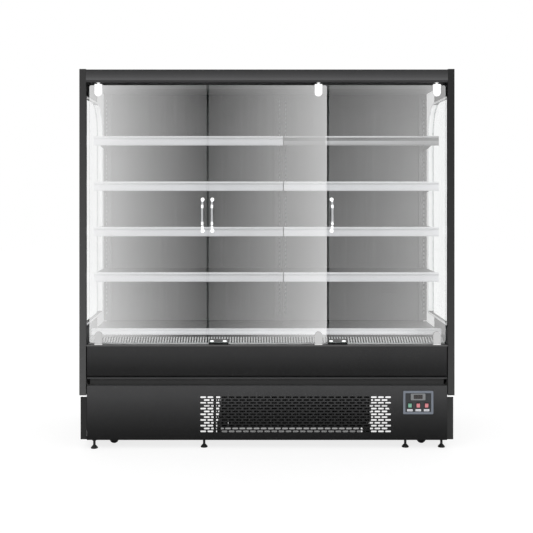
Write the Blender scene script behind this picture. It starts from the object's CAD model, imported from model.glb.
import bpy
import bmesh
import math
from mathutils import Vector, Matrix


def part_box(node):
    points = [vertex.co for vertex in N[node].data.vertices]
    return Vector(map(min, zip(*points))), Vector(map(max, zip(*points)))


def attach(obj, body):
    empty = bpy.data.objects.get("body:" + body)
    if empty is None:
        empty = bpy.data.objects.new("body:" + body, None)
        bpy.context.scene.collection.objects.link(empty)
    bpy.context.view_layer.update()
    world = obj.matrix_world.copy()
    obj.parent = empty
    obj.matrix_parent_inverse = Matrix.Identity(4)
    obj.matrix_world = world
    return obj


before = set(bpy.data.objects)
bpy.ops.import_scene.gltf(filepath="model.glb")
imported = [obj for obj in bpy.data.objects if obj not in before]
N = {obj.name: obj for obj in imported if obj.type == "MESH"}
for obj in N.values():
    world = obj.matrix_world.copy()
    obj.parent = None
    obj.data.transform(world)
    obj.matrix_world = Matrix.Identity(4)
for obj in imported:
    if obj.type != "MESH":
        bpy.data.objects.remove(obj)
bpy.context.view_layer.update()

FRONT = (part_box("side_frame_left")[0]).y          # front face of the side panels, in metres


# ------------------------------------------------------------------ node helpers
def srgb(v):
    """Linear value of an 8-bit screen tone."""
    c = v / 255.0
    return c / 12.92 if c <= 0.04045 else ((c + 0.055) / 1.055) ** 2.4


def grey(v, tint=(1.0, 1.0, 1.0)):
    g = srgb(v)
    return (g * tint[0], g * tint[1], g * tint[2], 1.0)


class Mat:
    """A small builder round one node tree."""

    def __init__(self, name):
        self.m = bpy.data.materials.new(name)
        self.m.use_nodes = True
        self.t = self.m.node_tree
        self.t.nodes.clear()
        self.out = self.new("ShaderNodeOutputMaterial")
        self.coord = self.new("ShaderNodeTexCoord")
        self.obj = self.coord.outputs["Object"]

    def new(self, kind, **props):
        n = self.t.nodes.new(kind)
        for k, v in props.items():
            setattr(n, k, v)
        return n

    def link(self, a, b):
        self.t.links.new(a, b)

    def set(self, sock, v):
        if isinstance(v, bpy.types.NodeSocket):
            self.link(v, sock)
        else:
            sock.default_value = v

    def math(self, op, a, b=None, c=None, clamp=False):
        n = self.new("ShaderNodeMath", operation=op, use_clamp=clamp)
        self.set(n.inputs[0], a)
        if b is not None:
            self.set(n.inputs[1], b)
        if c is not None:
            self.set(n.inputs[2], c)
        return n.outputs[0]

    def sep(self, vec=None):
        n = self.new("ShaderNodeSeparateXYZ")
        self.link(vec or self.obj, n.inputs[0])
        return n.outputs

    def scale(self, s, vec=None):
        n = self.new("ShaderNodeMapping")
        self.link(vec or self.obj, n.inputs["Vector"])
        n.inputs["Scale"].default_value = s
        return n.outputs[0]

    def noise(self, scale, detail=3.0, rough=0.55, vec=None, dist=0.0):
        n = self.new("ShaderNodeTexNoise")
        self.link(vec or self.obj, n.inputs["Vector"])
        n.inputs["Scale"].default_value = scale
        n.inputs["Detail"].default_value = detail
        n.inputs["Roughness"].default_value = rough
        n.inputs["Distortion"].default_value = dist
        return n.outputs["Fac"]

    def voronoi(self, scale, vec=None, feature="F1"):
        n = self.new("ShaderNodeTexVoronoi", feature=feature)
        self.link(vec or self.obj, n.inputs["Vector"])
        n.inputs["Scale"].default_value = scale
        return n.outputs["Distance"]

    def span(self, v, a, b, c, d, clamp=True, smooth=False):
        n = self.new("ShaderNodeMapRange", clamp=clamp)
        if smooth:
            n.interpolation_type = "SMOOTHSTEP"
        self.set(n.inputs["Value"], v)
        for k, x in (("From Min", a), ("From Max", b), ("To Min", c), ("To Max", d)):
            self.set(n.inputs[k], x)
        return n.outputs["Result"]

    def ramp(self, fac, stops, interp="LINEAR"):
        n = self.new("ShaderNodeValToRGB")
        n.color_ramp.interpolation = interp
        while len(n.color_ramp.elements) < len(stops):
            n.color_ramp.elements.new(0.5)
        for e, (p, c) in zip(n.color_ramp.elements, stops):
            e.position = p
            e.color = c
        self.set(n.inputs[0], fac)
        return n.outputs["Color"]

    def mix(self, fac, a, b, mode="MIX"):
        n = self.new("ShaderNodeMix", data_type="RGBA", blend_type=mode)
        self.set(n.inputs[0], fac)
        self.set(n.inputs[6], a)
        self.set(n.inputs[7], b)
        return n.outputs[2]

    def bump(self, height, strength, distance=0.001, normal=None):
        n = self.new("ShaderNodeBump")
        n.inputs["Strength"].default_value = strength
        n.inputs["Distance"].default_value = distance
        self.link(height, n.inputs["Height"])
        if normal is not None:
            self.link(normal, n.inputs["Normal"])
        return n.outputs[0]

    def geom(self, what="Normal"):
        n = self.new("ShaderNodeNewGeometry")
        return n.outputs[what]

    def principled(self, color, rough, metallic=0.0, spec=0.5, normal=None, **extra):
        p = self.new("ShaderNodeBsdfPrincipled")
        self.set(p.inputs["Base Color"], color)
        self.set(p.inputs["Roughness"], rough)
        self.set(p.inputs["Metallic"], metallic)
        self.set(p.inputs["Specular IOR Level"], spec)
        if normal is not None:
            self.link(normal, p.inputs["Normal"])
        for k, v in extra.items():
            self.set(p.inputs[k.replace("_", " ")], v)
        return p

    def done(self, shader):
        self.link(shader, self.out.inputs["Surface"])
        return self.m


def paint_on(mat, *names):
    for n in names:
        o = N[n] if isinstance(n, str) else n
        if not o.material_slots:
            o.data.materials.append(mat)
        for s in o.material_slots:
            s.material = mat


def z_ramp(M, stops, tint=(1, 1, 1)):
    """Tone down the height: stops are (z in metres, screen tone)."""
    z = M.sep()[2]
    z0, z1 = stops[0][0], stops[-1][0]
    f = M.span(z, z0, z1, 0.0, 1.0)
    return M.ramp(f, [((zz - z0) / (z1 - z0), grey(v, tint)) for zz, v in stops])


def powder(name, stops=None, tone=50, rough=0.5, spec=0.16, tint=(1.0, 1.0, 1.02), gain=1.0, fleck=0.10):
    """Powder coat: orange peel, fine flecks, faint handling marks and a soft change of tone with height."""
    M = Mat(name)
    base = z_ramp(M, [(z, v * gain) for z, v in stops], tint) if stops else grey(tone * gain, tint)
    cloud = M.noise(3.0, 4.0, 0.6)
    fine = M.noise(900.0, 2.0, 0.7)
    a = M.mix(M.span(cloud, 0.3, 0.7, 0.0, 0.10), base, (0.0, 0.0, 0.0, 1.0))
    b = M.mix(M.span(fine, 0.55, 0.8, 0.0, fleck), a, (0.5, 0.5, 0.52, 1.0))
    scuff = M.noise(38.0, 6.0, 0.75, vec=M.scale((1.0, 1.0, 9.0)))
    r = M.math("ADD", M.span(scuff, 0.35, 0.75, rough - 0.07, rough + 0.1), M.span(cloud, 0.3, 0.7, -0.03, 0.03))
    peel = M.noise(420.0, 2.0, 0.5)
    n1 = M.bump(peel, 0.10, 0.0006)
    n2 = M.bump(fine, 0.05, 0.0003, n1)
    p = M.principled(b, r, 0.0, spec, n2)
    return M.done(p.outputs[0])


# ------------------------------------------------------------------ painted steel and foamed panels
fascia_m = powder("coat_fascia", [(1.943, 79.9), (1.950, 83.2), (1.962, 71.3), (1.978, 59.4), (1.995, 48.6), (2.002, 41)])
header_m = powder("coat_header", tone=60, rough=0.6, spec=0.10)
bumper_m = powder("coat_bumper", [(0.384, 25), (0.42, 29), (0.46, 39.5), (0.50, 48), (0.53, 51), (0.540, 52.9)], spec=0.11)
kick_m = powder("coat_kick", [(0.046, 18), (0.10, 27.5), (0.16, 40), (0.22, 52), (0.28, 63), (0.325, 66.7), (0.333, 64.3)], spec=0.10)


def side_panel():
    """Black outside and on the door post, light grey skin inside behind the door line."""
    M = Mat("panel_side")
    x, y, z = M.sep()
    black_l = z_ramp(M, [(0.281, 76.6), (0.66, 72.2), (1.1, 65.5), (1.5, 57.7), (1.85, 52.2), (2.004, 50)])
    black_r = z_ramp(M, [(0.281, 59.4), (0.66, 55), (1.1, 45.1), (1.5, 39.6), (1.85, 34.1), (2.004, 34.1)])
    black = M.mix(M.math("GREATER_THAN", x, 0.0), black_l, black_r)
    inner = M.math("LESS_THAN", M.math("ABSOLUTE", x), 0.9555)
    behind = M.math("GREATER_THAN", y, M.mix(M.math("GREATER_THAN", x, 0.0), (FRONT + 0.098,) * 3 + (1,), (FRONT + 0.058,) * 3 + (1,)))
    mask = M.math("MULTIPLY", inner, M.math("MULTIPLY", behind, M.math("LESS_THAN", y, FRONT + 0.640)))
    mask = M.math("MULTIPLY", mask, M.math("MULTIPLY", M.math("GREATER_THAN", z, 0.380), M.math("LESS_THAN", z, 1.942)))
    cloud = M.noise(4.0, 4.0, 0.6)
    fine = M.noise(900.0, 2.0, 0.7)
    skin = M.mix(M.span(cloud, 0.3, 0.7, 0.0, 0.10), grey(246), grey(230))
    col = M.mix(mask, black, skin)
    col = M.mix(M.span(fine, 0.55, 0.8, 0.0, 0.07), col, (0.5, 0.5, 0.52, 1.0))
    # white lining of the window reveal
    hole = M.math("MULTIPLY", M.math("GREATER_THAN", M.math("ABSOLUTE", x), 0.9555), M.math("LESS_THAN", M.math("ABSOLUTE", x), 0.9885))
    hole = M.math("MULTIPLY", hole, M.math("MULTIPLY", M.math("GREATER_THAN", z, 0.655), M.math("LESS_THAN", z, 1.852)))
    hole = M.math("MULTIPLY", hole, M.math("MULTIPLY", M.math("GREATER_THAN", y, FRONT + 0.0245), M.math("LESS_THAN", y, FRONT + 0.5135)))
    col = M.mix(hole, col, grey(250))
    n1 = M.bump(M.noise(420.0, 2.0, 0.5), 0.10, 0.0006)
    rough = M.math("ADD", M.span(cloud, 0.3, 0.7, 0.47, 0.56), M.math("MULTIPLY", mask, -0.08))
    spec = M.math("ADD", 0.14, M.math("MULTIPLY", mask, 0.2))
    p = M.principled(col, rough, 0.0, spec, n1)
    M.set(p.inputs["Emission Color"], (1, 1, 1, 1))
    M.set(p.inputs["Emission Strength"], M.math("ADD", M.math("MULTIPLY", mask, M.span(x, -0.1, 0.1, 0.34, 0.52)), M.math("MULTIPLY", hole, 0.30)))
    return M.done(p.outputs[0])


side_m = side_panel()


def foam_panel(name, tone):
    """Foamed panel with a stucco-embossed skin."""
    M = Mat(name)
    emb = M.voronoi(160.0)
    cloud = M.noise(3.0, 4.0, 0.6)
    col = M.mix(M.span(cloud, 0.3, 0.7, 0.0, 0.2), grey(tone), grey(tone * 0.75))
    n1 = M.bump(M.span(emb, 0.0, 0.6, 1.0, 0.0), 0.25, 0.0008)
    return M.done(M.principled(col, M.span(cloud, 0.3, 0.7, 0.42, 0.58), 0.0, 0.25, n1).outputs[0])


paint_on(fascia_m, "canopy_fascia")
paint_on(header_m, "header_rail")
paint_on(bumper_m, "bumper_panel")
paint_on(kick_m, "kick_panel")


def welded_frame():
    """Black welded frame whose rear sill is left in bare zinc."""
    M = Mat("coat_frame")
    x, y, z = M.sep()
    zinc = M.math("MULTIPLY", M.math("GREATER_THAN", y, FRONT + 0.63), M.math("LESS_THAN", z, 0.0675))
    cloud = M.noise(3.0, 4.0, 0.6)
    spangle = M.voronoi(90.0)
    fine = M.noise(900.0, 2.0, 0.7)
    beam = M.math("MULTIPLY", M.math("GREATER_THAN", z, 0.325), M.math("LESS_THAN", y, FRONT + 0.03))
    black = M.mix(beam, grey(36), grey(58))
    black = M.mix(M.span(fine, 0.55, 0.8, 0.0, 0.10), black, grey(60))
    bare = M.mix(M.span(spangle, 0.0, 0.6, 0.0, 0.35), grey(232), grey(205))
    col = M.mix(zinc, black, bare)
    n1 = M.bump(M.noise(420.0, 2.0, 0.5), 0.10, 0.0006)
    p = M.principled(col, M.span(cloud, 0.3, 0.7, 0.55, 0.66), 0.0, 0.12, n1)
    inner = M.math("LESS_THAN", M.sep(M.geom("True Normal"))[1], -0.5)      # its inner face mirrors the bright floor
    M.set(p.inputs["Emission Color"], (1, 1, 1, 1))
    M.set(p.inputs["Emission Strength"], M.math("MULTIPLY", M.math("MULTIPLY", zinc, inner), 0.75))
    return M.done(p.outputs[0])


paint_on(welded_frame(), "base_frame")


def covers():
    """Powder-coated base covers, the right one a shade lighter than the left."""
    M = Mat("coat_cover")
    x = M.sep()[0]
    left = z_ramp(M, [(0.049, 38.4), (0.16, 40.8), (0.274, 40.8)])
    right = z_ramp(M, [(0.049, 46), (0.16, 50), (0.274, 50)])
    col = M.mix(M.math("GREATER_THAN", x, 0.0), left, right)
    fine = M.noise(900.0, 2.0, 0.7)
    cloud = M.noise(3.0, 4.0, 0.6)
    col = M.mix(M.span(fine, 0.55, 0.8, 0.0, 0.10), col, (0.5, 0.5, 0.52, 1.0))
    n1 = M.bump(M.noise(420.0, 2.0, 0.5), 0.10, 0.0006)
    return M.done(M.principled(col, M.span(cloud, 0.3, 0.7, 0.44, 0.58), 0.0, 0.12, n1).outputs[0])


paint_on(covers(), "base_covers")
paint_on(powder("coat_shroud", tone=24, rough=0.6, spec=0.08), "condenser_shroud")
paint_on(side_m, "side_frame_left", "side_frame_right")
paint_on(foam_panel("panel_rear", 66), "rear_wall", "top_panel")
paint_on(powder("coat_tub", [(0.360, 62), (0.376, 62), (0.379, 16), (0.54, 12)], rough=0.55, spec=0.12), "tub")


# ------------------------------------------------------------------ brushed steel back wall and uprights
SHELF_Z = [0.590, 0.904, 1.154, 1.404, 1.654, 1.931]


def brushed(name, lo_tone, hi_tone, metallic=0.35, rough=0.42, bays=True, tint=(1, 1, 1.01), slots=()):
    """Brushed sheet with an upright grain; in each bay it goes from dark under the shelf to lighter lower down."""
    M = Mat(name)
    z = M.sep()[2]
    grain = M.noise(260.0, 4.0, 0.7, vec=M.scale((1.0, 1.0, 0.012)))
    coarse = M.noise(40.0, 3.0, 0.6, vec=M.scale((1.0, 1.0, 0.02)))
    if bays:
        f = None
        for a, b in zip(SHELF_Z[:-1], SHELF_Z[1:]):
            part = M.math("MULTIPLY", M.span(z, a, b, 0.0, 1.0),
                          M.math("MULTIPLY", M.math("GREATER_THAN", z, a), M.math("LESS_THAN", z, b)))
            f = part if f is None else M.math("ADD", f, part)
        col = M.ramp(f, [(0.0, grey(hi_tone, tint)), (0.35, grey(hi_tone * 0.97, tint)),
                         (0.8, grey(lo_tone * 1.15, tint)), (1.0, grey(lo_tone * 0.9, tint))])
    else:
        col = grey(hi_tone, tint)
    if bays:                               # the top bay is lit from the ceiling
        col = M.mix(M.span(z, 1.93, 1.66, 0.0, 0.15), col, (1.0, 1.0, 1.0, 1.0))
        col = M.mix(M.math("MULTIPLY", M.math("LESS_THAN", z, 0.904), 0.14), col, (0.0, 0.0, 0.0, 1.0))
    col = M.mix(M.span(grain, 0.35, 0.7, 0.0, 0.16), col, (0.0, 0.0, 0.0, 1.0))
    col = M.mix(M.span(coarse, 0.5, 0.8, 0.0, 0.05), col, (0.8, 0.8, 0.8, 1.0))
    for sx in slots:                       # bare bright strip behind each row of slots
        near = M.math("LESS_THAN", M.math("ABSOLUTE", M.math("SUBTRACT", M.sep()[0], sx)), 0.005)
        col = M.mix(near, col, grey(250))
    n1 = M.bump(grain, 0.06, 0.0004)
    r = M.span(coarse, 0.3, 0.7, rough - 0.06, rough + 0.08)
    p = M.principled(col, r, metallic, 0.2 if metallic > 0.1 else 0.06, n1)
    return M.done(p.outputs[0])


paint_on(brushed("steel_back", 33, 55, 0.0, 0.55, slots=(-0.9375, 0.084, 0.120, 0.9375)), "back_panels")
paint_on(brushed("steel_upright", 45, 74, 0.15, 0.45), "uprights")
paint_on(brushed("steel_deck", 84, 104, 0.25, 0.4, bays=False), "deck_pans")
paint_on(brushed("steel_galv", 40, 60, 0.5, 0.5, bays=False), "evaporator_fan_plate")
paint_on(brushed("steel_zinc", 120, 150, 0.5, 0.4, bays=False), "screws")


def liner(name, tone, rough=0.45):
    M = Mat(name)
    cloud = M.noise(2.5, 4.0, 0.6)
    fine = M.noise(500.0, 2.0, 0.6)
    col = M.mix(M.span(cloud, 0.3, 0.7, 0.0, 0.5), grey(tone), grey(tone * 0.93))
    n1 = M.bump(fine, 0.08, 0.0004)
    return M.done(M.principled(col, M.span(cloud, 0.3, 0.7, rough - 0.05, rough + 0.08), 0.0, 0.3, n1).outputs[0])


def ceiling():
    M = Mat("liner_ceiling")
    y = M.sep()[1]
    cloud = M.noise(2.5, 4.0, 0.6)
    tone = M.ramp(M.span(y, FRONT + 0.06, FRONT + 0.55, 0.0, 1.0),
                  [(0.0, grey(124)), (0.42, grey(138)), (0.445, grey(118)), (1.0, grey(98))])
    col = M.mix(M.span(cloud, 0.3, 0.7, 0.0, 0.15), tone, (0, 0, 0, 1))
    n1 = M.bump(M.noise(420.0, 2.0, 0.5), 0.08, 0.0005)
    return M.done(M.principled(col, 0.45, 0.0, 0.25, n1).outputs[0])


paint_on(ceiling(), "ceiling_panels")
shelf_m = liner("shelf_coat", 96, 0.5)
paint_on(shelf_m, "shelves_left", "shelves_right", "shelf_brackets")


def extrusion(name, shelf=True):
    """Pale extruded plastic: a bead, a shadowed groove, a ticket channel; faint draw lines and handling marks."""
    M = Mat(name)
    x, y, z = M.sep()
    lines = M.noise(700.0, 3.0, 0.7, vec=M.scale((0.004, 1.0, 1.0)))
    cloud = M.noise(6.0, 4.0, 0.6)
    def along(points, top):
        """Value against x (metres), as a ramp scaled by top."""
        x0, x1 = points[0][0], points[-1][0]
        r = M.ramp(M.span(x, x0, x1, 0.0, 1.0), [((xx - x0) / (x1 - x0), (v / top,) * 3 + (1.0,)) for xx, v in points])
        return M.math("MULTIPLY", M.sep(r)[0], top)

    if shelf:
        u = M.math("MULTIPLY", M.math("FRACT", M.math("MULTIPLY", M.math("SUBTRACT", 1.663, z), 4.0)), 0.25)
        pale = M.ramp(M.span(u, 0.0, 0.056, 0.0, 1.0),
                      [(0.0, grey(240)), (0.17, grey(240)), (0.19, grey(222)), (0.33, grey(228)), (0.37, grey(250)),
                       (0.80, grey(248)), (0.86, grey(240)), (1.0, grey(206))])
        dark = M.ramp(M.span(u, 0.0, 0.056, 0.0, 1.0),
                      [(0.0, grey(222)), (0.15, grey(216)), (0.19, grey(104)), (0.46, grey(116)), (0.52, grey(200)),
                       (0.80, grey(190)), (0.86, grey(170)), (1.0, grey(120))])
        lone = M.math("MULTIPLY", M.math("GREATER_THAN", z, 1.60), M.math("GREATER_THAN", x, 0.095))
        g_left = along([(-0.95, 1.20), (-0.842, 1.16), (-0.711, 1.04), (-0.580, 0.93), (-0.449, 0.875), (-0.318, 0.79),
                        (-0.122, 0.81), (0.008, 0.875), (0.094, 0.90)], 1.2)
        g_right = along([(0.094, 1.05), (0.139, 1.08), (0.322, 1.14), (0.330, 0.93), (0.336, 0.93), (0.466, 0.86),
                         (0.597, 0.88), (0.859, 0.965), (0.924, 1.0)], 1.2)
        g_lone = along([(0.094, 0.66), (0.139, 0.60), (0.322, 0.14), (0.330, 1.14), (0.336, 1.12), (0.466, 0.99),
                        (0.597, 0.95), (0.728, 0.85), (0.859, 0.64), (0.940, 0.50)], 1.2)
        g = M.math("ADD", M.math("MULTIPLY", M.math("LESS_THAN", x, 0.0945), g_left),
                   M.math("MULTIPLY", M.math("GREATER_THAN", x, 0.0945), g_right))
        g = M.math("ADD", M.math("MULTIPLY", lone, g_lone), M.math("MULTIPLY", M.math("SUBTRACT", 1.0, lone), g))
        base = M.mix(lone, pale, dark)
        lip = M.math("MULTIPLY", M.math("LESS_THAN", u, 0.0100), M.math("LESS_THAN", y, FRONT + 0.30))
        glow = M.math("ADD", M.math("MULTIPLY", M.math("MAXIMUM", M.math("SUBTRACT", g, 1.0), 0.0), 0.55),
                      M.math("MULTIPLY", lip, 0.09))
    else:
        base = M.ramp(M.span(z, 0.567, 0.611, 0.0, 1.0),
                      [(0.0, grey(60)), (0.19, grey(70)), (0.24, grey(236)), (0.38, grey(240)), (0.42, grey(255)),
                       (0.72, grey(255)), (0.78, grey(226)), (0.83, grey(252)), (1.0, grey(236))])
        g = along([(-0.95, 1.0), (-0.580, 1.0), (-0.449, 0.94), (-0.253, 0.96), (-0.1, 1.0), (0.95, 1.0)], 1.2)
        glow = along([(-0.95, 0.24), (-0.756, 0.20), (-0.580, 0.075), (-0.46, 0.0), (-0.122, 0.0), (0.008, 0.085), (0.139, 0.155),
                      (0.322, 0.30), (0.330, 0.05), (0.728, 0.066), (0.859, 0.01), (0.95, 0.10)], 1.0)
    tone = M.math("MINIMUM", g, 1.0)
    gg = M.new("ShaderNodeCombineXYZ")
    for i in range(3):
        M.link(tone, gg.inputs[i])
    base = M.mix(1.0, base, gg.outputs[0], "MULTIPLY")
    base = M.mix(1.0, base, (0.975, 0.975, 1.0, 1.0), "MULTIPLY")
    col = M.mix(M.span(lines, 0.4, 0.7, 0.0, 0.10), base, (0.25, 0.25, 0.26, 1.0))
    col = M.mix(M.span(cloud, 0.4, 0.75, 0.0, 0.06), col, (0.35, 0.35, 0.36, 1.0))
    n1 = M.bump(lines, 0.15, 0.0003)
    p = M.principled(col, M.span(cloud, 0.3, 0.7, 0.28, 0.42), 0.0, 0.35, n1)
    M.set(p.inputs["Emission Color"], (1, 1, 1, 1))
    M.set(p.inputs["Emission Strength"], glow)
    return M.done(p.outputs[0])


paint_on(extrusion("rail_price"), "price_rails")
paint_on(extrusion("rail_deck", False), "deck_price_rail")


def grille():
    """White slotted ledge; the slots read on as dark wells up to the rail."""
    M = Mat("grille_coat")
    x, y, z = M.sep()
    k = M.math("DIVIDE", x, 0.0145)
    off = M.math("ABSOLUTE", M.math("SUBTRACT", k, M.math("ROUND", k)))
    band = M.math("MULTIPLY", M.math("GREATER_THAN", y, FRONT + 0.1215), M.math("LESS_THAN", y, FRONT + 0.1365))
    well = M.math("MULTIPLY", M.math("LESS_THAN", off, 0.24), band)
    cloud = M.noise(2.5, 4.0, 0.6)
    col = M.mix(M.span(cloud, 0.3, 0.7, 0.0, 0.5), grey(226), grey(214))
    col = M.mix(well, col, grey(18))
    n1 = M.bump(M.noise(500.0, 2.0, 0.6), 0.08, 0.0004)
    return M.done(M.principled(col, M.span(cloud, 0.3, 0.7, 0.40, 0.53), 0.0, 0.3, n1).outputs[0])


paint_on(grille(), "return_air_grille")


def anodised(name, tone, rough=0.3, metallic=0.85):
    M = Mat(name)
    lines = M.noise(900.0, 3.0, 0.7, vec=M.scale((0.004, 1.0, 1.0)))
    cloud = M.noise(9.0, 4.0, 0.6)
    col = M.mix(M.span(lines, 0.4, 0.7, 0.0, 0.18), grey(tone), grey(tone * 0.7))
    n1 = M.bump(lines, 0.15, 0.0003)
    return M.done(M.principled(col, M.span(cloud, 0.3, 0.7, rough - 0.05, rough + 0.08), metallic, 0.5, n1).outputs[0])


paint_on(anodised("alu_sill", 92, 0.4, 0.4), "door_rail")
paint_on(anodised("alu_fins", 110, 0.4, 0.6), "evaporator_coil")
paint_on(anodised("coated_fins", 48, 0.6, 0.0), "condenser_coil")


# ------------------------------------------------------------------ glass
def glass(name, haze=None, facing_gain=0.35, tint=(0.988, 0.992, 0.992, 1.0)):
    """Clear tempered glass. haze is (x0, a0, x1, a1): how much of the bright room the pane mirrors across its width."""
    M = Mat(name)
    x, y, z = M.sep()
    own = M.new("ShaderNodeVectorTransform", vector_type="NORMAL", convert_from="WORLD", convert_to="OBJECT")
    M.link(M.geom("True Normal"), own.inputs[0])
    nx, ny, nz = M.sep(own.outputs[0])
    smudge = M.noise(7.0, 5.0, 0.65)
    fine = M.noise(160.0, 3.0, 0.6, vec=M.scale((1.0, 1.0, 0.35)))
    clear = M.new("ShaderNodeBsdfTransparent")
    clear.inputs[0].default_value = tint
    shine = M.new("ShaderNodeBsdfGlossy")
    shine.inputs["Color"].default_value = (1, 1, 1, 1)
    M.link(M.span(smudge, 0.35, 0.75, 0.01, 0.05), shine.inputs["Roughness"])
    lw = M.new("ShaderNodeLayerWeight")
    lw.inputs["Blend"].default_value = 0.12
    body = M.new("ShaderNodeMixShader")
    M.link(M.math("MULTIPLY", lw.outputs["Fresnel"], facing_gain), body.inputs[0])
    M.link(clear.outputs[0], body.inputs[1])
    M.link(shine.outputs[0], body.inputs[2])
    out = body.outputs[0]
    if haze:
        x0, a0, x1, a1 = haze
        stops = []
        for k in range(7):
            v = 62.0 + (a0 + (a1 - a0) * k / 6) * (255.0 - 62.0)
            f = (srgb(v) - srgb(62.0)) / (1.0 - srgb(62.0))
            stops.append((k / 6, (f, f, f, 1.0)))
        a = M.sep(M.ramp(M.span(x, x0, x1, 0.0, 1.0), stops))[0]
        low = M.span(z, 0.596, 0.602, 0.45, 0.0)                            # thinner below the deck rail
        a = M.math("MULTIPLY", a, M.math("SUBTRACT", 1.0, M.math("MULTIPLY", low, M.math("SUBTRACT", 1.0, a))))
        a = M.math("ADD", a, M.span(smudge, 0.3, 0.7, -0.006, 0.006))
        a = M.math("ADD", a, M.span(fine, 0.55, 0.8, 0.0, 0.003))
        front = M.math("LESS_THAN", y, FRONT + 0.0135)      # the outer face only
        veil = M.new("ShaderNodeBsdfGlossy")
        veil.inputs["Color"].default_value = (1.0, 1.0, 1.0, 1.0)
        veil.inputs["Roughness"].default_value = 0.22
        mx = M.new("ShaderNodeMixShader")
        M.link(M.math("MULTIPLY", a, front, clamp=True), mx.inputs[0])
        M.link(out, mx.inputs[1])
        M.link(veil.outputs[0], mx.inputs[2])
        out = mx.outputs[0]
    # ground edges look green and frosted
    edge = M.math("LESS_THAN", M.math("ABSOLUTE", ny if haze else nx), 0.6)
    rim = M.principled((0.16, 0.27, 0.24, 1.0), 0.35, 0.0, 0.5, M.bump(fine, 0.2, 0.0004))
    rim.inputs["Alpha"].default_value = 0.75
    mx2 = M.new("ShaderNodeMixShader")
    M.link(edge, mx2.inputs[0])
    M.link(out, mx2.inputs[1])
    M.link(rim.outputs[0], mx2.inputs[2])
    return M.done(mx2.outputs[0])


paint_on(glass("glass_door_left", (-0.949, 0.81, -0.3185, 0.205)), "door_glass_left")
paint_on(glass("glass_door_middle", (-0.3075, 0.205, 0.3175, 0.71)), "door_glass_middle")
paint_on(glass("glass_door_right", (0.3285, 0.265, 0.945, 0.57)), "door_glass_right")
paint_on(glass("glass_side", None, 0.04, (0.996, 0.998, 0.997, 1.0)), "side_glass_panes")


# ------------------------------------------------------------------ small fittings
def enamel(name, tone, rough=0.35, tint=(1, 1, 1), spec=0.4, grain=600.0, glow=0.0):
    M = Mat(name)
    cloud = M.noise(30.0, 4.0, 0.6)
    fine = M.noise(grain, 2.0, 0.6)
    col = M.mix(M.span(cloud, 0.3, 0.75, 0.0, 0.35), grey(tone, tint), grey(tone * 0.9, tint))
    n1 = M.bump(fine, 0.10, 0.0003)
    p = M.principled(col, M.span(cloud, 0.3, 0.7, rough - 0.06, rough + 0.08), 0.0, spec, n1)
    M.set(p.inputs["Emission Color"], (1, 1, 1, 1))
    p.inputs["Emission Strength"].default_value = glow
    return M.done(p.outputs[0])




def clip():
    """White enamelled patch clip; the lower ones are a shade greyer."""
    M = Mat("white_clip")
    z = M.sep()[2]
    cloud = M.noise(30.0, 4.0, 0.6)
    fine = M.noise(600.0, 2.0, 0.6)
    low = M.math("LESS_THAN", z, 1.0)
    col = M.mix(low, grey(252), grey(196))
    col = M.mix(M.span(cloud, 0.3, 0.75, 0.0, 0.12), col, grey(190))
    p = M.principled(col, M.span(cloud, 0.3, 0.7, 0.28, 0.4), 0.0, 0.4, M.bump(fine, 0.10, 0.0003))
    M.set(p.inputs["Emission Color"], (1, 1, 1, 1))
    M.set(p.inputs["Emission Strength"], M.math("MULTIPLY", M.math("SUBTRACT", 1.0, low), 0.10))
    return M.done(p.outputs[0])


paint_on(clip(), "door_clips_left", "door_clips_middle", "door_clips_right")
paint_on(enamel("white_bush", 250, 0.45), "pivot_bushings")
paint_on(enamel("trim_white", 255, 0.4, glow=0.25), "side_trims")


def catch():
    """Black moulded catch with two white buffers in its face."""
    M = Mat("catch_block")
    x, y, z = M.sep()
    disc = None
    for mx_ in (-0.309 + 0.018, -0.309 + 0.086, 0.322 + 0.018, 0.322 + 0.086):
        dx = M.math("MULTIPLY", M.math("SUBTRACT", x, mx_), 0.42)
        dz = M.math("SUBTRACT", z, 0.5645)
        r2 = M.math("ADD", M.math("MULTIPLY", dx, dx), M.math("MULTIPLY", dz, dz))
        d = M.math("LESS_THAN", r2, 0.0046 ** 2)
        disc = d if disc is None else M.math("MAXIMUM", disc, d)
    disc = M.math("MULTIPLY", disc, M.math("LESS_THAN", y, FRONT + 0.0215))
    g = M.voronoi(1200.0)
    cloud = M.noise(40.0, 3.0, 0.6)
    tone = M.ramp(M.span(z, 0.547, 0.575, 0.0, 1.0), [(0.0, grey(14)), (0.25, grey(20)), (0.4, grey(80)), (1.0, grey(84))])
    black = M.mix(M.span(cloud, 0.3, 0.7, 0.0, 0.4), tone, grey(40))
    col = M.mix(disc, black, grey(252))
    p = M.principled(col, M.span(cloud, 0.3, 0.7, 0.35, 0.5), 0.0, 0.25, M.bump(g, 0.12, 0.0003))
    M.set(p.inputs["Emission Color"], (1, 1, 1, 1))
    M.set(p.inputs["Emission Strength"], M.math("MULTIPLY", disc, 0.5))
    return M.done(p.outputs[0])


paint_on(catch(), "door_catches")


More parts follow.
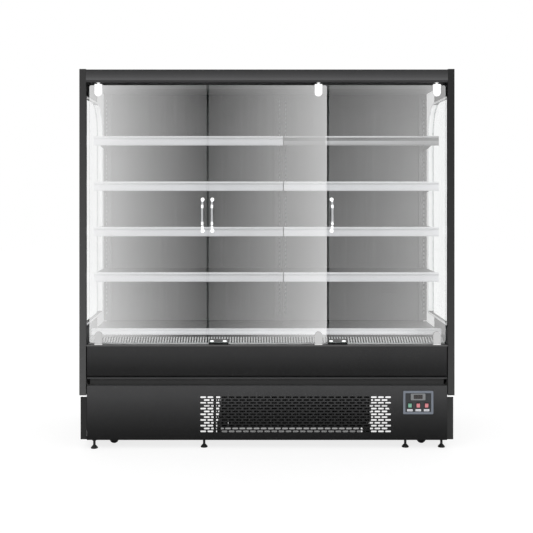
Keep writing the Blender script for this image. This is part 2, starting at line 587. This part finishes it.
def chrome(name):
    """Polished bow handle: bright knees and roses, a greyer satin grip, hairlines along it."""
    M = Mat(name)
    z = M.sep()[2]
    hair = M.noise(500.0, 3.0, 0.7, vec=M.scale((1.0, 1.0, 0.05)))
    cloud = M.noise(60.0, 4.0, 0.6)
    f = M.span(z, 1.140, 1.324, 0.0, 1.0)
    lit = M.ramp(f, [(0.0, grey(255)), (0.19, grey(255)), (0.205, grey(110)), (0.225, grey(110)), (0.24, grey(255)),
                     (0.275, grey(235)), (0.34, grey(60)), (0.66, grey(40)), (0.705, grey(60)), (0.72, grey(255)),
                     (0.785, grey(255)), (0.81, grey(70)), (0.885, grey(90)), (0.905, grey(255)), (1.0, grey(255))])
    lv = M.sep(lit)[0]
    col = M.mix(lv, (0.52, 0.53, 0.54, 1), (0.96, 0.97, 0.98, 1))
    col = M.mix(M.span(cloud, 0.35, 0.75, 0.0, 0.3), col, (0.60, 0.61, 0.63, 1))
    n1 = M.bump(hair, 0.05, 0.0002)
    p = M.principled(col, M.span(hair, 0.3, 0.8, 0.10, 0.22), 1.0, 0.5, n1)
    M.set(p.inputs["Emission Color"], (1, 1, 1, 1))
    M.set(p.inputs["Emission Strength"], M.math("MULTIPLY", lv, 0.80))
    return M.done(p.outputs[0])


paint_on(chrome("chrome_handle"), "door_handle_left", "door_handle_middle", "door_handle_right")


def moulded(name, tone, tint=(1, 1, 1), rough=0.5, spec=0.3, scale=1400.0, depth=0.18):
    """Moulded plastic with a spark-eroded grain."""
    M = Mat(name)
    g = M.voronoi(scale)
    cloud = M.noise(25.0, 4.0, 0.6)
    col = M.mix(M.span(cloud, 0.35, 0.75, 0.0, 0.4), grey(tone, tint), grey(tone * 0.86, tint))
    n1 = M.bump(g, depth, 0.0003)
    return M.done(M.principled(col, M.span(cloud, 0.3, 0.7, rough - 0.06, rough + 0.06), 0.0, spec, n1).outputs[0])


paint_on(moulded("bezel_blue_grey", 124, (0.90, 1.0, 1.18), 0.45), "control_bezel")
paint_on(moulded("faceplate_dark", 66, (0.95, 1.0, 1.06), 0.55, 0.15), "control_faceplate")
paint_on(moulded("controller_grey", 128, (0.97, 1.0, 1.03), 0.5), "temperature_controller")
paint_on(moulded("switch_black", 40, (1, 1, 1), 0.5, 0.2), "switch_bodies")


def rocker(name, color, glow):
    """Translucent lit rocker: brighter towards its middle, with faint mould lines."""
    M = Mat(name)
    lines = M.noise(300.0, 2.0, 0.5, vec=M.scale((0.02, 1.0, 1.0)))
    cloud = M.noise(90.0, 3.0, 0.6)
    z = M.sep()[2]
    mid = M.math("SUBTRACT", 1.0, M.math("ABSOLUTE", M.span(z, 0.2176, 0.2396, -1.0, 1.0)))
    col = M.mix(M.span(cloud, 0.35, 0.75, 0.0, 0.3), color, tuple(c * 0.8 for c in color[:3]) + (1,))
    n1 = M.bump(lines, 0.15, 0.0003)
    p = M.principled(col, 0.22, 0.0, 0.5, n1)
    M.set(p.inputs["Emission Color"], col)
    M.set(p.inputs["Emission Strength"], M.math("MULTIPLY_ADD", M.math("POWER", mid, 1.5), glow, glow * 0.35))
    return M.done(p.outputs[0])


paint_on(rocker("lit_green", (0.18, 0.40, 0.29, 1), 0.16), "rocker_green")
paint_on(rocker("lit_red", (0.60, 0.21, 0.23, 1), 0.16), "rocker_red_left", "rocker_red_right")

foot_m = moulded("foot_black_m", 34, (1, 1, 1), 0.5, 0.25, 700.0, 0.2)
paint_on(foot_m, "levelling_feet")
paint_on(powder("castor_plate_m", tone=36, rough=0.45, spec=0.3), "castor_fork_left", "castor_fork_right")


def tread(name):
    M = Mat(name)
    dust = M.noise(120.0, 5.0, 0.7)
    col = M.mix(M.span(dust, 0.5, 0.8, 0.0, 0.35), grey(30), grey(80, (1.0, 0.98, 0.94)))
    n1 = M.bump(M.noise(900.0, 2.0, 0.6), 0.25, 0.0003)
    return M.done(M.principled(col, M.span(dust, 0.3, 0.7, 0.6, 0.85), 0.0, 0.3, n1).outputs[0])


paint_on(tread("tread_rubber"), "castor_wheel_front_left", "castor_wheel_front_right",
         "castor_wheel_rear_left", "castor_wheel_rear_right")
paint_on(tread("cord_rubber"), "power_cable")
paint_on(enamel("compressor_enamel", 22, 0.22, spec=0.5, grain=200.0), "compressor")
paint_on(moulded("fan_black", 26, (1, 1, 1), 0.45, 0.3, 900.0, 0.12),
         "condenser_fan", "evaporator_fan_left", "evaporator_fan_right")


def copper():
    M = Mat("copper_tube")
    tarnish = M.noise(45.0, 5.0, 0.65)
    draw = M.noise(600.0, 3.0, 0.6)
    col = M.ramp(M.span(tarnish, 0.3, 0.75, 0.0, 1.0), [(0.0, (0.80, 0.42, 0.26, 1)), (0.6, (0.55, 0.26, 0.15, 1)),
                                                        (1.0, (0.25, 0.13, 0.09, 1))])
    return M.done(M.principled(col, M.span(tarnish, 0.3, 0.7, 0.25, 0.5), 1.0, 0.5, M.bump(draw, 0.08, 0.0002)).outputs[0])


paint_on(copper(), "refrigerant_pipes")


# ------------------------------------------------------------------ mesh pieces the CAD doesn't hold
def mesh_object(name, bm, mat, body, smooth=True):
    me = bpy.data.meshes.new(name)
    bm.normal_update()
    bm.to_mesh(me)
    bm.free()
    if smooth:
        for p in me.polygons:
            p.use_smooth = True
    o = bpy.data.objects.new(name, me)
    bpy.context.scene.collection.objects.link(o)
    me.materials.append(mat)
    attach(o, body)
    return o


def rounded_loop(w, h, r, seg=5):
    pts = []
    for cx, cz, a0 in ((w / 2 - r, h / 2 - r, 0), (-w / 2 + r, h / 2 - r, 90), (-w / 2 + r, -h / 2 + r, 180),
                       (w / 2 - r, -h / 2 + r, 270)):
        for i in range(seg + 1):
            a = math.radians(a0 + 90 * i / seg)
            pts.append((cx + r * math.cos(a), cz + r * math.sin(a)))
    return pts


def domed_plate(bm, cx, cz, w, h, r, y_back, y_front, dome=0.0, edge=0.0002):
    """Rounded plate facing -Y, with a softened rim and a slightly domed face built from inset rings."""
    rings = []
    steps = [(0.0, y_back), (0.0, y_front + edge), (edge, y_front)]
    n_in = 4
    for i in range(1, n_in + 1):
        k = i / n_in
        steps.append((edge + (min(w, h) / 2 - edge) * 0.92 * k, y_front - dome * math.sin(k * math.pi / 2)))
    for inset, y in steps:
        ww, hh = w - 2 * inset, h - 2 * inset
        rr = max(min(r - inset, ww / 2 - 1e-5, hh / 2 - 1e-5), 1e-5)
        rings.append([bm.verts.new((cx + px, y, cz + pz)) for px, pz in rounded_loop(ww, hh, rr)])
    for a, b in zip(rings[:-1], rings[1:]):
        m = len(a)
        for i in range(m):
            bm.faces.new((a[i], a[(i + 1) % m], b[(i + 1) % m], b[i]))
    bm.faces.new(list(reversed(rings[0])))
    bm.faces.new(rings[-1])


def plate_material(name, tone, tint=(1, 1, 1), rough=0.4):
    return moulded(name, tone, tint, rough, 0.35, 1800.0, 0.08)


face_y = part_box("control_faceplate")[0].y
ctrl_lo, ctrl_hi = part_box("temperature_controller")
label_m = plate_material("label_white", 226, (0.97, 0.98, 1.03), 0.45)
ink_m = plate_material("label_ink", 150, (0.95, 0.98, 1.05), 0.6)
for i, n in enumerate(("rocker_green", "rocker_red_left", "rocker_red_right")):
    a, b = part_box(n)
    cx = (a.x + b.x) / 2
    bm = bmesh.new()
    domed_plate(bm, cx, 0.2035, 0.029, 0.0115, 0.0012, face_y + 0.0002, face_y - 0.0007, 0.0)
    mesh_object(f"label_plate_{i + 1}", bm, label_m, "case", smooth=False)
    bm = bmesh.new()
    for k in range(3):                                     # plain printed bars, no lettering
        domed_plate(bm, cx - 0.007 + k * 0.007, 0.2035, 0.0048, 0.0022 if k != 1 else 0.0034, 0.0006,
                    face_y - 0.0006, face_y - 0.00085, 0.0, 0.00005)
    mesh_object(f"label_bars_{i + 1}", bm, ink_m, "case", smooth=False)

# display lens with its unlit segments
lens = Mat("display_lens")
lcloud = lens.noise(60.0, 3.0, 0.6)
lcol = lens.mix(lens.span(lcloud, 0.35, 0.75, 0.0, 0.4), grey(44, (1.0, 0.96, 0.98)), grey(34))
lens_m = lens.done(lens.principled(lcol, lens.span(lcloud, 0.3, 0.7, 0.08, 0.16), 0.0, 0.45).outputs[0])
bm = bmesh.new()
cxd, czd = (ctrl_lo.x + ctrl_hi.x) / 2, (ctrl_lo.z + ctrl_hi.z) / 2
domed_plate(bm, cxd, czd + 0.0005, 0.0465, 0.0215, 0.002, ctrl_lo.y + 0.0011, ctrl_lo.y + 0.0005, 0.0003)
mesh_object("display_window", bm, lens_m, "case")
seg_m = Mat("segment_unlit")
sn = seg_m.noise(400.0, 2.0, 0.5)
seg_m = seg_m.done(seg_m.principled(seg_m.mix(seg_m.span(sn, 0.3, 0.7, 0.0, 1.0), grey(76, (1.15, 0.9, 0.9)), grey(62, (1.1, 0.9, 0.9))),
                                    0.35, 0.0, 0.3).outputs[0])
bm = bmesh.new()


def segment(bm, cx, cz, length, upright):
    w, y0, y1 = 0.0009, ctrl_lo.y + 0.0004, ctrl_lo.y + 0.0001
    pts = [(-length / 2, 0), (-length / 2 + w, w), (length / 2 - w, w), (length / 2, 0), (length / 2 - w, -w),
           (-length / 2 + w, -w)]
    if upright:
        pts = [(b, a) for a, b in pts]
    A = [bm.verts.new((cx + a, y0, cz + b)) for a, b in pts]
    B = [bm.verts.new((cx + a, y1, cz + b)) for a, b in pts]
    for i in range(6):
        bm.faces.new((A[i], A[(i + 1) % 6], B[(i + 1) % 6], B[i]))
    bm.faces.new(B)
    bm.faces.new(list(reversed(A)))


for k in range(3):
    cx = cxd - 0.016 + k * 0.0145
    for dz in (-0.0072, 0.0, 0.0072):
        segment(bm, cx, czd + dz, 0.0066, False)
    for dx in (-0.0042, 0.0042):
        for dz in (-0.0036, 0.0036):
            segment(bm, cx + dx, czd + dz, 0.0058, True)
bmesh.ops.recalc_face_normals(bm, faces=bm.faces)
mesh_object("display_segments", bm, seg_m, "case", smooth=False)


def button_head(bm, c, r, h, direction, hex_r):
    """Low domed screw head with a hexagon recess, facing +Y or -Y."""
    s = direction
    n = 24
    rings = []
    for rr, yy in ((r, 0.0), (r, h * 0.45), (r * 0.86, h * 0.85), (r * 0.62, h)):
        rings.append([bm.verts.new((c.x + rr * math.cos(2 * math.pi * i / n), c.y + s * yy,
                                    c.z + rr * math.sin(2 * math.pi * i / n))) for i in range(n)])

    def hexpt(i, rad):
        a = 2 * math.pi * i / n
        k = math.cos(math.pi / 6) / math.cos((a % (math.pi / 3)) - math.pi / 6)
        return rad * k * math.cos(a), rad * k * math.sin(a)

    for yy in (h * 0.98, h * 0.3):
        rings.append([bm.verts.new((c.x + hexpt(i, hex_r)[0], c.y + s * yy, c.z + hexpt(i, hex_r)[1])) for i in range(n)])
    for a, b in zip(rings[:-1], rings[1:]):
        for i in range(n):
            bm.faces.new((a[i], a[(i + 1) % n], b[(i + 1) % n], b[i]))
    bm.faces.new(rings[-1])


steel_small = anodised("screw_steel_m", 170, 0.25, 0.9)
for d in ("left", "middle", "right"):
    a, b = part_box(f"door_clips_{d}")
    cx = (a.x + b.x) / 2
    bm = bmesh.new()
    for z in (b.z - 0.022 - 0.032, a.z + 0.0039 + 0.0055 + 0.036):
        for dx in (-0.009, 0.009):
            button_head(bm, Vector((cx + dx, b.y, z)), 0.0045, 0.0022, 1.0, 0.0022)
    bmesh.ops.recalc_face_normals(bm, faces=bm.faces)
    mesh_object(f"clip_screws_{d}", bm, steel_small, f"door_{d}")

# condensate tray behind the lowest vent rows: a thin pressed pan with a rolled front lip
TRAY = Mat("tray_zinc")
tsp = TRAY.voronoi(120.0)
tcl = TRAY.noise(8.0, 4.0, 0.6)
tcol = TRAY.mix(TRAY.span(tsp, 0.0, 0.6, 0.0, 0.35), grey(176), grey(140))
tp = TRAY.principled(tcol, TRAY.span(tcl, 0.3, 0.7, 0.4, 0.55), 0.3, 0.4, TRAY.bump(tsp, 0.08, 0.0003))
TRAY.set(tp.inputs["Emission Color"], (1, 1, 1, 1))
TRAY.set(tp.inputs["Emission Strength"], TRAY.span(TRAY.sep()[2], 0.070, 0.094, 0.13, 0.30))
tray_m = TRAY.done(tp.outputs[0])
bm = bmesh.new()
prof = [(0.0745, 0.0935), (0.0735, 0.0925), (0.0735, 0.0685), (0.0760, 0.0665), (0.0930, 0.0665), (0.0930, 0.0675),
        (0.0765, 0.0675), (0.0750, 0.0695), (0.0750, 0.0915), (0.0760, 0.0925), (0.0755, 0.0935)]
ends = []
for xx in (-0.258, 0.506):
    ends.append([bm.verts.new((xx, FRONT + d, z)) for d, z in prof])
for i in range(len(prof)):
    bm.faces.new((ends[0][i], ends[0][(i + 1) % len(prof)], ends[1][(i + 1) % len(prof)], ends[1][i]))
for e in ends:
    bm.faces.new(e)
bmesh.ops.recalc_face_normals(bm, faces=bm.faces)
mesh_object("condensate_tray", bm, tray_m, "case", smooth=False)

# ------------------------------------------------------------------ stage: floor, light, camera
fl = bmesh.new()
S = 14.0
for x, y in ((-S, -S), (S, -S), (S, S), (-S, S)):
    fl.verts.new((x, y, -0.0005))
fl.verts.ensure_lookup_table()
fl.faces.new(fl.verts)
fme = bpy.data.meshes.new("studio_floor")
fl.to_mesh(fme)
fl.free()
floor = bpy.data.objects.new("studio_floor", fme)
bpy.context.scene.collection.objects.link(floor)
FM = Mat("floor_pale")
fc = FM.noise(1.5, 3.0, 0.5)
fp = FM.principled(FM.mix(FM.span(fc, 0.3, 0.7, 0.0, 1.0), (0.90, 0.90, 0.90, 1), (0.92, 0.92, 0.92, 1)), 0.85, 0.0, 0.1)
flp = FM.new("ShaderNodeLightPath")
fe = FM.new("ShaderNodeEmission")
fe.inputs["Strength"].default_value = 1.10
fx = FM.new("ShaderNodeMixShader")
FM.link(FM.math("MULTIPLY", flp.outputs["Is Camera Ray"], 0.72), fx.inputs[0])
FM.link(fp.outputs[0], fx.inputs[1])
FM.link(fe.outputs[0], fx.inputs[2])
fme.materials.append(FM.done(fx.outputs[0]))

world = bpy.data.worlds.new("studio")
bpy.context.scene.world = world
world.use_nodes = True
wt = world.node_tree
wt.nodes.clear()
wo = wt.nodes.new("ShaderNodeOutputWorld")
bg = wt.nodes.new("ShaderNodeBackground")
bgc = wt.nodes.new("ShaderNodeBackground")
lp = wt.nodes.new("ShaderNodeLightPath")
mx = wt.nodes.new("ShaderNodeMixShader")
bg.inputs["Color"].default_value = (1.0, 1.0, 1.0, 1.0)
bg.inputs["Strength"].default_value = 0.92
bgc.inputs["Color"].default_value = (1.0, 1.0, 1.0, 1.0)
bgc.inputs["Strength"].default_value = 1.0
wt.links.new(lp.outputs["Is Camera Ray"], mx.inputs[0])
wt.links.new(bg.outputs[0], mx.inputs[1])
wt.links.new(bgc.outputs[0], mx.inputs[2])
wt.links.new(mx.outputs[0], wo.inputs["Surface"])


def area(name, loc, target, size, energy):
    ld = bpy.data.lights.new(name, "AREA")
    ld.shape = "RECTANGLE"
    ld.size, ld.size_y = size
    ld.energy = energy
    lo = bpy.data.objects.new(name, ld)
    lo.location = loc
    lo.rotation_mode = "QUATERNION"
    lo.rotation_quaternion = (Vector(target) - Vector(loc)).to_track_quat("-Z", "Y")
    bpy.context.scene.collection.objects.link(lo)
    lo.visible_camera = False
    lo.visible_glossy = False
    return lo


area("key_soft", (-2.6, -4.6, 4.2), (0.0, 0.0, 1.0), (3.4, 2.4), 60.0)
area("fill_soft", (3.4, -3.6, 2.4), (0.0, 0.0, 1.0), (2.6, 2.6), 22.0)

CAM_X, CAM_Z, CAM_BACK = -0.084, 1.365, 4.45
cam_data = bpy.data.cameras.new("camera")
cam = bpy.data.objects.new("camera", cam_data)
bpy.context.scene.collection.objects.link(cam)
cam.location = (CAM_X, FRONT - CAM_BACK, CAM_Z)
cam.rotation_mode = "QUATERNION"
cam.rotation_quaternion = Vector((0.0, 1.0, 0.0)).to_track_quat("-Z", "Y")
cam_data.sensor_width = 36.0
cam_data.lens = 4450 / 5.274 / 533 * 36.0
cam_data.clip_start, cam_data.clip_end = 0.05, 100.0
bpy.context.scene.camera = cam
# The view camera's rise and shift hold only from its own standpoint.
for prop, value in (("shift_x", 15.5 / 533), ("shift_y", -76.5 / 533)):
    drv = cam_data.driver_add(prop).driver
    drv.type = "SCRIPTED"
    for vn, ch in (("cx", "LOC_X"), ("cy", "LOC_Y"), ("cz", "LOC_Z")):
        v = drv.variables.new()
        v.name = vn
        v.type = "TRANSFORMS"
        v.targets[0].id = cam
        v.targets[0].transform_type = ch
        v.targets[0].transform_space = "WORLD_SPACE"
    drv.expression = (f"{value:.6f} if abs(cx - {CAM_X}) < 0.002 and abs(cz - {CAM_Z}) < 0.002 "
                      f"and abs(cy - {FRONT - CAM_BACK:.6f}) < 0.002 else 0.0")

vs = bpy.context.scene.view_settings
vs.view_transform = "Standard"
vs.look = "None"
vs.exposure = 0.0
vs.gamma = 1.0
